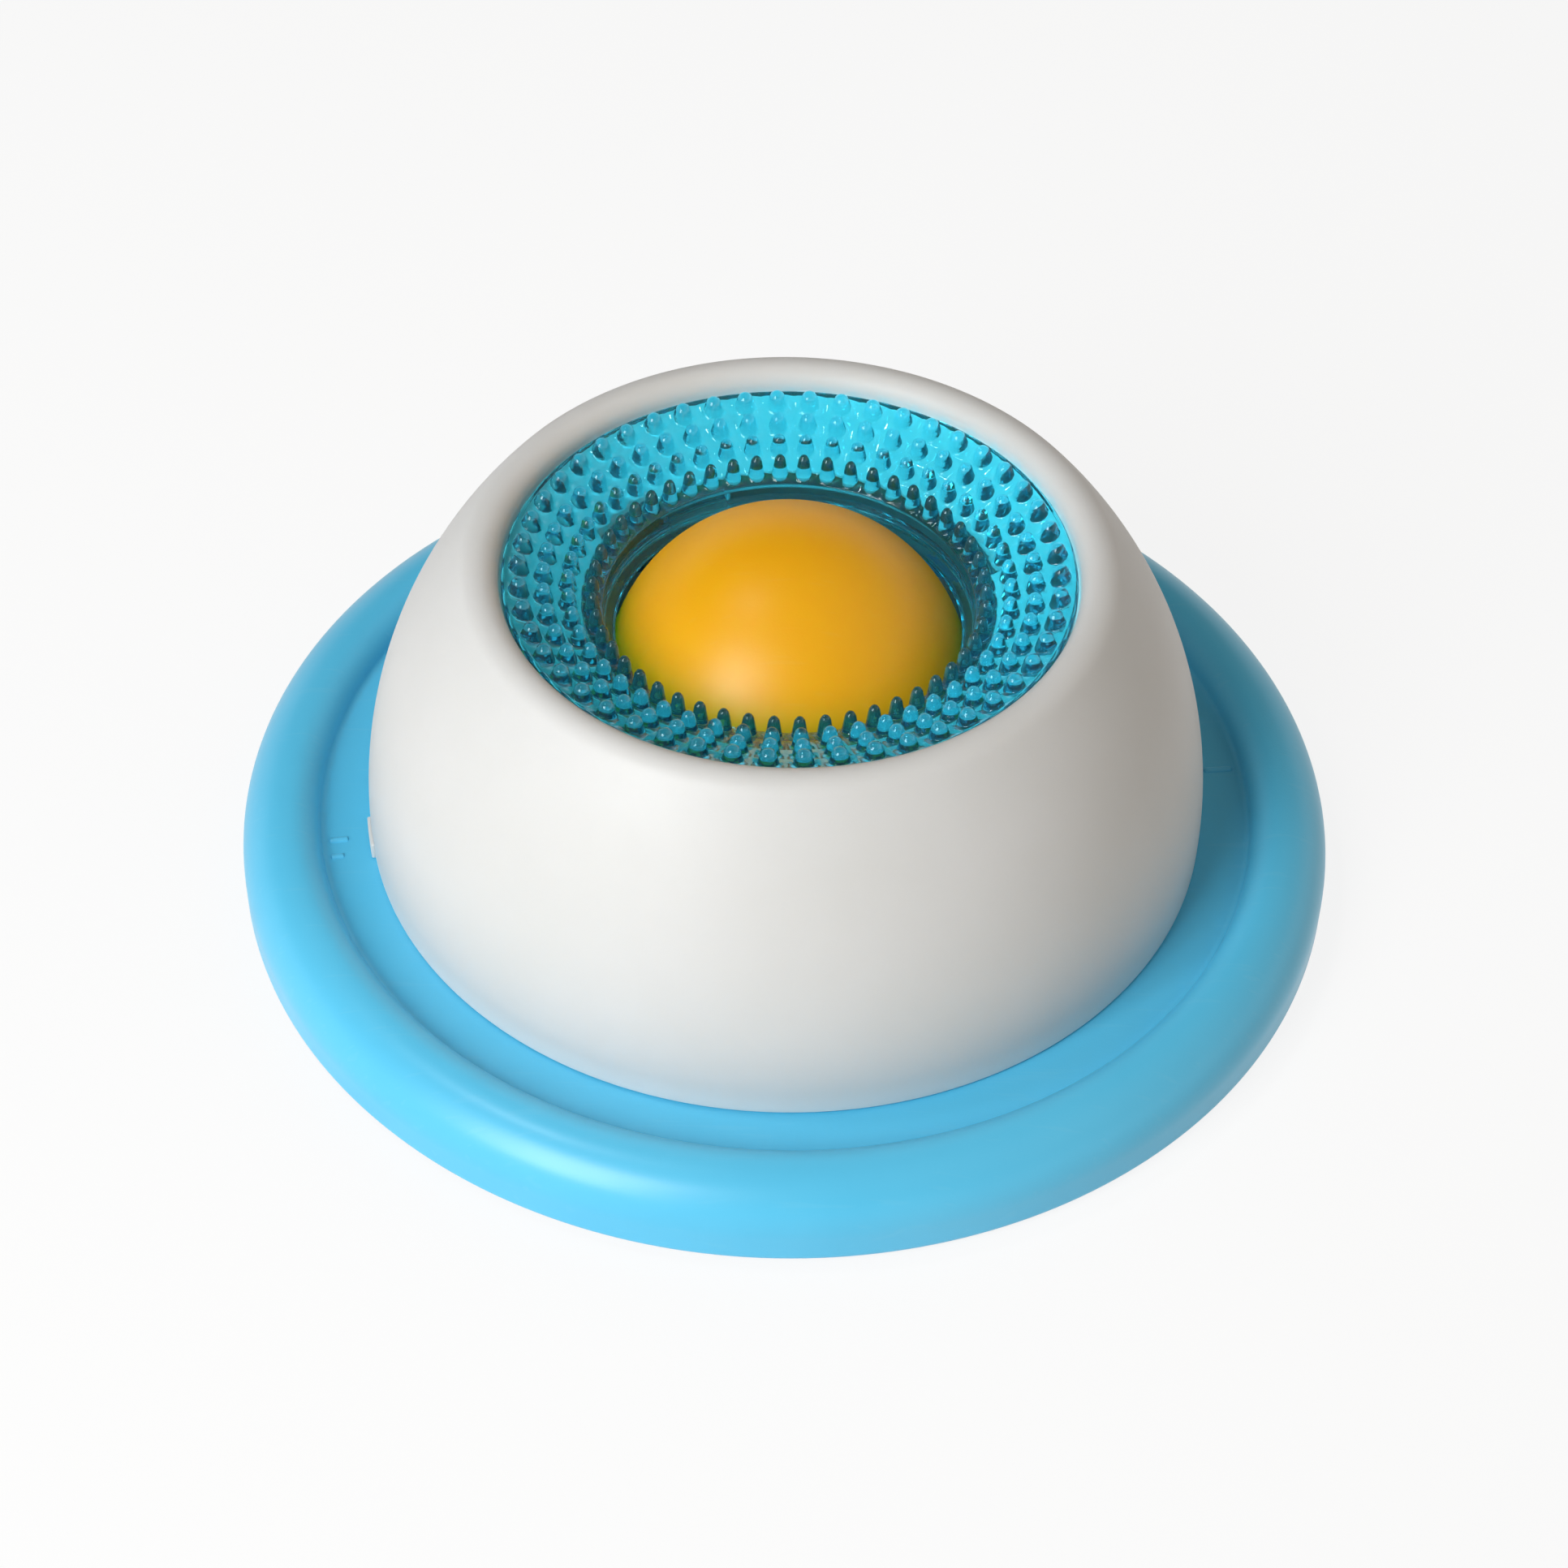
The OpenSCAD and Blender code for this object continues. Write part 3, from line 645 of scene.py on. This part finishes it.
ringLow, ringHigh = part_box("lick_ring")
ring = {
    "radius": ringHigh.y, "edge": 0.0598, "fall": 0.0074, "hole": 0.0294, "holeEdge": 0.002, "seat": 55.0,
    "neck": 0.027393, "neckZ": 0.047533, "wall": 0.002, "edgeRound": 0.0006, "cellGap": 0.00019,
    "skirt": 0.0327, "skirtLow": ringLow.z, "lugOut": 0.0349, "lugLow": 0.046548, "lugTop": 0.049148,
    "lugRoot": 0.001, "lugEdge": 0.0003, "sharp": 0.0003, "soft": 0.0004,
}
nubs = {
    "count": 50, "rows": 4, "first": 0.031, "pitch": 0.0038, "outerEdge": 0.0443,
    "reach": (0.0015, 0.00141, 0.00109, 0.00094, 0.00056, 0.0),
    "rise": (0.0, 0.0003, 0.0017, 0.00222, 0.00264, 0.0028), "sides": 12, "upright": 0.0017,
    "wide": (0.92, 1.02, 1.1, 1.17), "tall": (1.45, 1.25, 1.1, 1.0),
}


def funnelHeight(radius, v):
    return v["edge"] - v["fall"] * (v["radius"] - radius) / (v["radius"] - v["hole"])


# nub field: in each cell twelve directions run from the cell's edge over the funnel, up the peg to its round tip;
# each row has its own share of the width and height; turns are those of the outer row's edge points, each once
def nubField(v, r, innerEdge):
    lean = np.radians(45 + np.arange(v["sides"]) * 360 / v["sides"])
    rowMiddle = v["first"] + np.arange(v["rows"]) * v["pitch"]
    bounds = np.concatenate([[innerEdge], (rowMiddle[1:] + rowMiddle[:-1]) / 2, [v["outerEdge"]]])
    halfTurn = np.pi / v["count"]
    place = evenTurns(v["count"])
    alongEdge = np.clip(np.sqrt(2) * np.cos(lean), -1, 1)
    acrossEdge = np.clip(np.sqrt(2) * np.sin(lean), -1, 1)
    edgeR = (bounds[:-1] + bounds[1:])[:, None] / 2 + np.diff(bounds)[:, None] / 2 * alongEdge
    shape = (v["rows"], v["count"], v["sides"])
    edgeR = np.broadcast_to(edgeR[:, None, :], shape)
    edgeTurn = np.broadcast_to(place[:, None] + halfTurn * acrossEdge, shape)
    edge = np.stack([edgeR * np.cos(edgeTurn), edgeR * np.sin(edgeTurn), funnelHeight(edgeR, r)], axis=-1)
    reach = np.outer(v["wide"], v["reach"])[:, :, None]
    rise = np.outer(v["tall"], v["rise"])[:, :, None]
    out = rowMiddle[:, None, None] + reach * np.cos(lean)
    side = reach * np.sin(lean)
    upright = np.clip(rise / v["upright"], 0, 1)
    level = funnelHeight(rowMiddle, r)[:, None, None]
    height = (1 - upright) * funnelHeight(np.hypot(out, side), r) + upright * level + rise
    spin = place[None, :, None, None]
    out, side, height = (a[:, None] for a in (out, side, height))
    peg = np.stack([out * np.cos(spin) - side * np.sin(spin), out * np.sin(spin) + side * np.cos(spin),
                    np.broadcast_to(height, (v["rows"], v["count"], len(v["rise"]), v["sides"]))], axis=-1)
    points = np.concatenate([edge[:, :, None], peg], axis=2)
    rings, sides = points.shape[2:4]
    start = np.arange(v["rows"] * v["count"])[:, None, None] * rings * sides
    faces = start + gridFaces(rings, sides)
    outerSide = np.isclose(alongEdge, 1)
    turns = np.sort((place[:, None] + halfTurn * acrossEdge[outerSide][None, 1:]).ravel())
    return (points.reshape(-1, 3), faces.reshape(-1, 4)), turns


# ring section: from the funnel's outer edge round the rim, the skirt, the underside and the seat to the hole
def ringSection(v, outerEdge):
    slope = v["fall"] / (v["radius"] - v["hole"])
    sheet = v["wall"] * math.sqrt(1 + slope ** 2)
    lean = math.radians(v["seat"])
    tip = (v["neck"] + v["wall"] * math.sin(lean), v["neckZ"] - v["wall"] * math.cos(lean))
    skirtIn = v["skirt"] - v["wall"]
    holeZ = v["edge"] - v["fall"]
    cellEdge = v["hole"] + v["cellGap"]
    sharp, soft = v["sharp"], v["soft"]
    return outline(
        [(outerEdge, funnelHeight(outerEdge, v)), (v["radius"], v["edge"]), (v["radius"], v["edge"] - sheet),
         (v["skirt"], funnelHeight(v["skirt"], v) - sheet), (v["skirt"], v["skirtLow"]), (skirtIn, v["skirtLow"]),
         (skirtIn, tip[1] + (skirtIn - tip[0]) * math.tan(lean)), tip, (v["neck"], v["neckZ"]),
         (v["hole"], holeZ - v["holeEdge"]), (v["hole"], holeZ), (cellEdge, funnelHeight(cellEdge, v))],
        [0, v["edgeRound"], sharp, soft, sharp, sharp, sharp, soft, soft, soft, sharp, 0],
        closed=False, steps=5), cellEdge


ringPath, cellEdge = ringSection(ring, nubs["outerEdge"])
nubSurface, ringTurns = nubField(nubs, ring, cellEdge)
ringSurfaces = [nubSurface, revolve(ringPath, ringTurns, False)]
for turn in spreadTurns(hooks["count"]):
    ringSurfaces.append(arcBlock((ring["skirt"] - ring["lugRoot"], ring["lugLow"]), (ring["lugOut"], ring["lugTop"]),
                                 turn, hooks["lugAngle"], ring["lugEdge"]))
putPiece("lickRing", together(ringSurfaces), ringFinish, "ring", "lick_ring")
print("lick ring made with", nubs["count"] * nubs["rows"], "nubs")


# Ball

# upper half: outer sphere to a softened seam, tongue inside the seam, inner sphere
def upperHalf(b):
    inside = b["radius"] - b["wall"]
    tongue = b["radius"] - b["wall"] / 2 - b["gap"]
    dip = math.degrees(b["seam"] / b["radius"])
    seam = outline([(b["radius"], b["seam"]), (b["radius"] - b["seam"], 0), (tongue, 0), (tongue, -b["lap"]),
                    (inside, -b["lap"]), (inside, 0)],
                   [0, b["seamRound"], 0, b["lapRound"], b["lapRound"], 0], False, 4)
    path = joined(arc((0, 0), b["radius"], 90, dip, 64), seam, arc((0, 0), inside, 0, 90, 40))
    return path + np.array([0, b["centre"]])


# lower half: the same upside down, with a step that takes the tongue
def lowerHalf(b):
    inside = b["radius"] - b["wall"]
    step = b["radius"] - b["wall"] / 2
    deep = -b["lap"] - b["gap"]
    dip = math.degrees(b["seam"] / b["radius"])
    innerTurn = math.degrees(math.asin(deep / inside))
    seam = outline([(b["radius"], -b["seam"]), (b["radius"] - b["seam"], 0), (step, 0), (step, deep),
                    (inside * math.cos(math.radians(innerTurn)), deep)],
                   [0, b["seamRound"], b["seamRound"], b["seamRound"], 0], False, 4)
    path = joined(arc((0, 0), b["radius"], -90, -dip, 64), seam, arc((0, 0), inside, innerTurn, -90, 40))
    return path + np.array([0, b["centre"]])


for name, path, node in (("ballUpperHalf", upperHalf(ball), "ball_upper_half"),
                         ("ballLowerHalf", lowerHalf(ball), "ball_lower_half")):
    path[[0, -1], 0] = 0
    putPiece(name, revolve(path, evenTurns(ball["segments"]), False), ballFinish, "ball", node)
print("ball made")


# Stage, light and camera

studio = {
    "floorTone": srgb(244, 244, 244), "floorSize": 40.0, "floorZ": -0.0001, "floorRough": 0.9, "ownWhite": 0.86,
    "room": {"tone": srgb(236, 230, 222), "strength": 0.05,
             "patches": [((0.8, 0.0, 0.6), (1.0, 0.9, 0.78, 1.0), 0.66, 3.0)],
             "backdrop": 0.92, "backdropTop": (0.3, 0.5)},
    "windows": [
        {"name": "sideWindow", "turn": 230.0, "height": 33.0, "away": 0.9, "panes": 3, "width": 0.12, "tall": 0.62,
         "bar": 0.022, "watts": 7.45, "tone": (0.98, 1.0, 1.0)},
        {"name": "roofWindow", "turn": 168.0, "height": 68.0, "away": 0.9, "panes": 3, "width": 0.022, "tall": 0.1,
         "bar": 0.01, "watts": 0.8, "tone": (1.0, 1.0, 1.0)},
    ],
}


# one for rays from the camera, from gloss and through clear plastic, and nought for the rest
def seenRays(tree):
    rays = tree.nodes.new("ShaderNodeLightPath")
    seen = mathNode(tree, "ADD", rays.outputs["Is Camera Ray"], rays.outputs["Is Glossy Ray"])
    return mathNode(tree, "MINIMUM", mathNode(tree, "ADD", seen, rays.outputs["Is Transmission Ray"]), 1.0)


# floor: pale, takes the shadow, and shows near white to the camera and in reflections
def makeFloor(v):
    half, level = v["floorSize"] / 2, v["floorZ"]
    mesh = bpy.data.meshes.new("floor")
    mesh.from_pydata([(-half, -half, level), (half, -half, level), (half, half, level), (-half, half, level)],
                     [], [(0, 1, 2, 3)])
    material, tree, shader = newMaterial("paleFloor")
    shader.inputs["Base Color"].default_value = v["floorTone"]
    shader.inputs["Roughness"].default_value = v["floorRough"]
    shader.inputs["Specular IOR Level"].default_value = 0.0
    glow = tree.nodes.new("ShaderNodeEmission")
    mix = tree.nodes.new("ShaderNodeMixShader")
    tree.links.new(mathNode(tree, "MULTIPLY", seenRays(tree), v["ownWhite"]), mix.inputs["Fac"])
    tree.links.new(shader.outputs["BSDF"], mix.inputs[1])
    tree.links.new(glow.outputs["Emission"], mix.inputs[2])
    tree.links.new(mix.outputs["Shader"], tree.nodes["Material Output"].inputs["Surface"])
    mesh.materials.append(material)
    floor = bpy.data.objects.new("floor", mesh)
    bpy.context.scene.collection.objects.link(floor)


def addedLight(tree, first, second):
    both = tree.nodes.new("ShaderNodeAddShader")
    tree.links.new(first, both.inputs[0])
    tree.links.new(second, both.inputs[1])
    return both.outputs["Shader"]


# room: an even tone, plus soft bright patches that fall off as a power of the cosine from their middle,
# and a pale backdrop round the horizon that only the camera, gloss and clear plastic see
def makeRoom(v):
    world = bpy.data.worlds.new("room")
    bpy.context.scene.world = world
    world.use_nodes = True
    tree = world.node_tree
    even = tree.nodes["Background"]
    even.inputs["Color"].default_value = v["tone"]
    even.inputs["Strength"].default_value = v["strength"]
    total = even.outputs["Background"]
    look = tree.nodes.new("ShaderNodeTexCoord")
    for aim, tone, strength, power in v["patches"]:
        facing = tree.nodes.new("ShaderNodeVectorMath")
        facing.operation = "DOT_PRODUCT"
        tree.links.new(look.outputs["Generated"], facing.inputs[0])
        facing.inputs[1].default_value = Vector(aim).normalized()
        share = mathNode(tree, "POWER", mathNode(tree, "MAXIMUM", facing.outputs["Value"], 0.0), power)
        patch = tree.nodes.new("ShaderNodeBackground")
        patch.inputs["Color"].default_value = tone
        tree.links.new(mathNode(tree, "MULTIPLY", share, strength), patch.inputs["Strength"])
        total = addedLight(tree, total, patch.outputs["Background"])
    rise = tree.nodes.new("ShaderNodeSeparateXYZ")
    tree.links.new(look.outputs["Generated"], rise.inputs["Vector"])
    fade = tree.nodes.new("ShaderNodeMapRange")
    fade.inputs["From Min"].default_value, fade.inputs["From Max"].default_value = v["backdropTop"]
    fade.inputs["To Min"].default_value, fade.inputs["To Max"].default_value = v["backdrop"], 0.0
    tree.links.new(rise.outputs["Z"], fade.inputs["Value"])
    backdrop = tree.nodes.new("ShaderNodeBackground")
    tree.links.new(mathNode(tree, "MULTIPLY", seenRays(tree), fade.outputs["Result"]), backdrop.inputs["Strength"])
    backdrop.inputs["Color"].default_value = (1.0, 1.0, 1.0, 1.0)
    total = addedLight(tree, total, backdrop.outputs["Background"])
    tree.links.new(total, tree.nodes["World Output"].inputs["Surface"])


# window: soft panes side by side with narrow bars between them, all facing the object
def makeWindow(v, aim=(0, 0, 0.03)):
    turn, height = math.radians(v["turn"]), math.radians(v["height"])
    away = Vector((math.cos(turn) * math.cos(height), math.sin(turn) * math.cos(height), math.sin(height)))
    beside = Vector((-math.sin(turn), math.cos(turn), 0))
    step, middle = v["width"] + v["bar"], (v["panes"] - 1) / 2
    for pane in range(v["panes"]):
        light = bpy.data.lights.new(f"{v['name']}Pane{pane + 1}", "AREA")
        light.shape = "RECTANGLE"
        light.size, light.size_y = v["width"], v["tall"]
        light.energy = v["watts"] / v["panes"]
        light.color = v["tone"]
        lamp = bpy.data.objects.new(light.name, light)
        lamp.location = Vector(aim) + away * v["away"] + beside * (pane - middle) * step
        lamp.rotation_euler = away.to_track_quat("Z", "Y").to_euler()
        bpy.context.scene.collection.objects.link(lamp)


camera = {
    "place": (0.0, -0.4017, 0.4116), "right": (0.9998, 0.0142, 0.0136), "up": (-0.0197, 0.7049, 0.709),
    "ahead": (-0.0005, 0.7091, -0.7051), "lens": 78.26, "sensor": 36.0, "clip": (0.01, 50.0),
}


def makeCamera(v):
    data = bpy.data.cameras.new("photoCamera")
    data.lens = v["lens"]
    data.sensor_width = v["sensor"]
    data.clip_start, data.clip_end = v["clip"]
    eye = bpy.data.objects.new("photoCamera", data)
    axes = Matrix((v["right"], v["up"], [-a for a in v["ahead"]])).transposed()
    eye.matrix_world = Matrix.Translation(v["place"]) @ axes.to_4x4()
    bpy.context.scene.collection.objects.link(eye)
    bpy.context.scene.camera = eye


makeFloor(studio)
makeRoom(studio["room"])
for window in studio["windows"]:
    makeWindow(window)
makeCamera(camera)
bpy.context.scene.view_settings.view_transform = "Standard"
print("stage, light and camera made")
